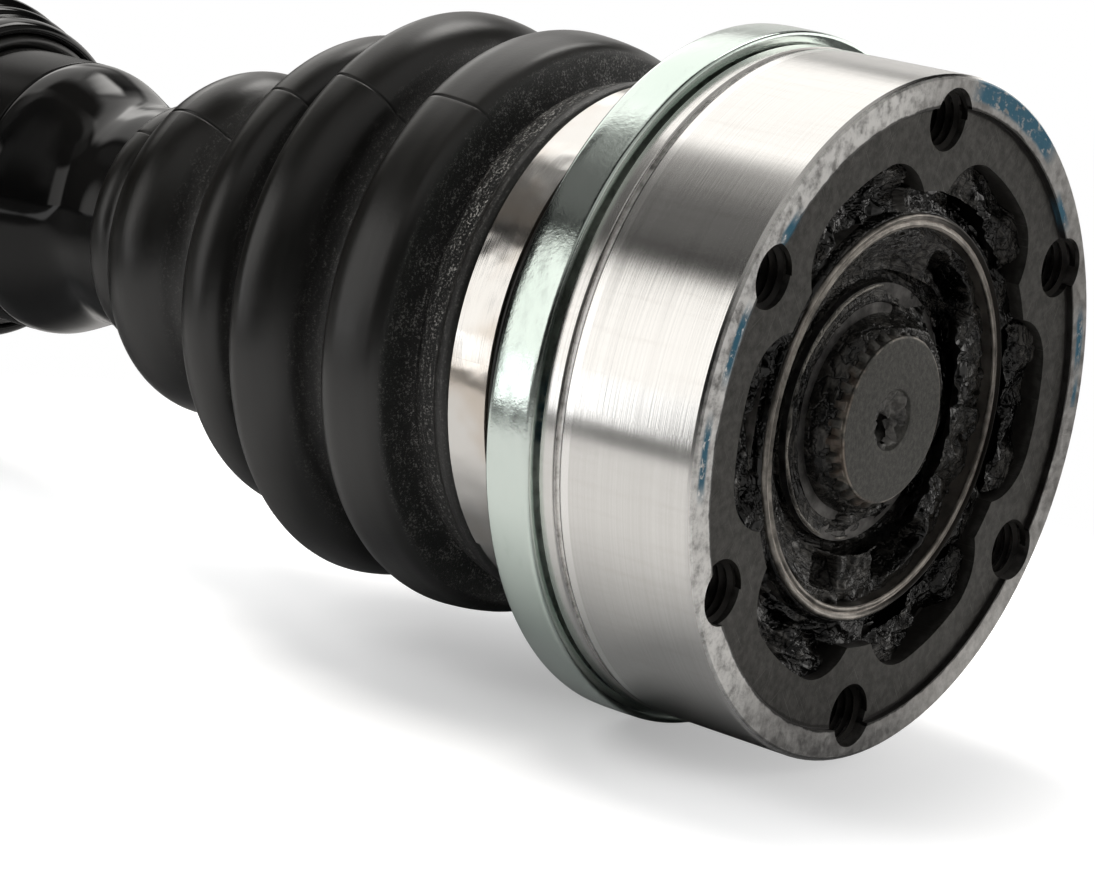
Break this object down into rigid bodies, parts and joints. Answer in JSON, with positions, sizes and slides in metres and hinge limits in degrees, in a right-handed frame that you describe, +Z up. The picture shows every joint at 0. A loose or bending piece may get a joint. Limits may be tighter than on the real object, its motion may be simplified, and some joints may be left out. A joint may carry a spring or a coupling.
{
  "type": "drive shaft",
  "caption": "Half shaft with a bolt-on plunging ball joint, a pleated boot, a tubular shaft with a damper ring and a fixed ball joint with a splined stub axle.",
  "frame": {"origin": "centre of the bolt-on face of the inner joint, on the shaft's axis", "axes": "+X along the shaft's axis and out of the bolt-on face, +Z up through one of the bolt holes, +Y to the side through one ball"},
  "size_m": [0.582, 0.112, 0.112],
  "materials": {
    "ground_steel": "turned and ground bright steel",
    "zinc_plate": "pale green-white zinc plate, satin",
    "stainless": "polished stainless strip",
    "dark_steel": "hardened steel, dark and oily",
    "spring_steel": "blackened spring steel",
    "ball_steel": "polished bearing steel",
    "grease": "black wet grease",
    "boot_rubber": "matt black rubber",
    "damper_rubber": "black rubber",
    "black_paint": "gloss black paint",
    "bell_steel": "forged and turned steel"
  },
  "bodies": {
    "housing": {"inner_race": "ground_steel", "inner_cap": "zinc_plate", "inner_band": "stainless", "grease_mouths": "grease"},
    "plunging_core": {"grease_core": "grease"},
    "inner_boot": {"inner_boot": "boot_rubber"},
    "shaft": {"inner_stub": "black_paint", "tube": "black_paint", "outer_stub": "black_paint", "damper_sleeve": "damper_rubber", "damper_ring": "black_paint", "inner_star": "dark_steel", "inner_circlip": "spring_steel", "dished_washer": "spring_steel", "outer_star": "dark_steel", "outer_circlip": "spring_steel"},
    "inner_side_balls": {"inner_ball_1": "ball_steel", "inner_ball_4": "ball_steel"},
    "inner_cage": {"inner_cage": "dark_steel", "inner_ball_2": "ball_steel", "inner_ball_3": "ball_steel", "inner_ball_5": "ball_steel", "inner_ball_6": "ball_steel"},
    "outer_boot": {"outer_boot": "boot_rubber"},
    "bell": {"bell": "bell_steel", "outer_band": "stainless"},
    "outer_side_balls": {"outer_ball_1": "ball_steel", "outer_ball_4": "ball_steel"},
    "outer_cage": {"outer_cage": "dark_steel", "outer_ball_2": "ball_steel", "outer_ball_3": "ball_steel", "outer_ball_5": "ball_steel", "outer_ball_6": "ball_steel"}
  },
  "joints": [
    {"name": "inner_plunge", "type": "slide", "parent": "housing", "child": "plunging_core", "axis": [1, 0, 0], "range_m": [-0.012, 0.012], "deforming": ["grease_core"]},
    {"name": "inner_swing_z", "type": "hinge", "parent": "plunging_core", "child": "inner_boot", "pos_m": [-0.019, 0, 0], "axis": [0, 0, 1], "range_deg": [-15, 15], "deforming": ["inner_boot"]},
    {"name": "inner_swing_y", "type": "hinge", "parent": "inner_boot", "child": "shaft", "pos_m": [-0.019, 0, 0], "axis": [0, 1, 0], "range_deg": [-15, 15]},
    {"name": "inner_half_z", "type": "hinge", "parent": "plunging_core", "child": "inner_side_balls", "pos_m": [-0.019, 0, 0], "axis": [0, 0, 1], "range_deg": [-7.6, 7.6]},
    {"name": "inner_half_y", "type": "hinge", "parent": "inner_side_balls", "child": "inner_cage", "pos_m": [-0.019, 0, 0], "axis": [0, 1, 0], "range_deg": [-7.6, 7.6]},
    {"name": "outer_swing_z", "type": "hinge", "parent": "shaft", "child": "outer_boot", "pos_m": [-0.47, 0, 0], "axis": [0, 0, 1], "range_deg": [-40, 40], "deforming": ["outer_boot"]},
    {"name": "outer_swing_y", "type": "hinge", "parent": "outer_boot", "child": "bell", "pos_m": [-0.47, 0, 0], "axis": [0, 1, 0], "range_deg": [-12, 12]},
    {"name": "outer_half_z", "type": "hinge", "parent": "shaft", "child": "outer_side_balls", "pos_m": [-0.47, 0, 0], "axis": [0, 0, 1], "range_deg": [-20.1, 20.1]},
    {"name": "outer_half_y", "type": "hinge", "parent": "outer_side_balls", "child": "outer_cage", "pos_m": [-0.47, 0, 0], "axis": [0, 1, 0], "range_deg": [-6.1, 6.1]}
  ],
  "couplings": [
    {"joint": "inner_half_z", "follows": "inner_swing_z", "ratio": 0.5},
    {"joint": "inner_half_y", "follows": "inner_swing_y", "ratio": 0.5},
    {"joint": "outer_half_z", "follows": "outer_swing_z", "ratio": 0.5},
    {"joint": "outer_half_y", "follows": "outer_swing_y", "ratio": 0.5}
  ]
}
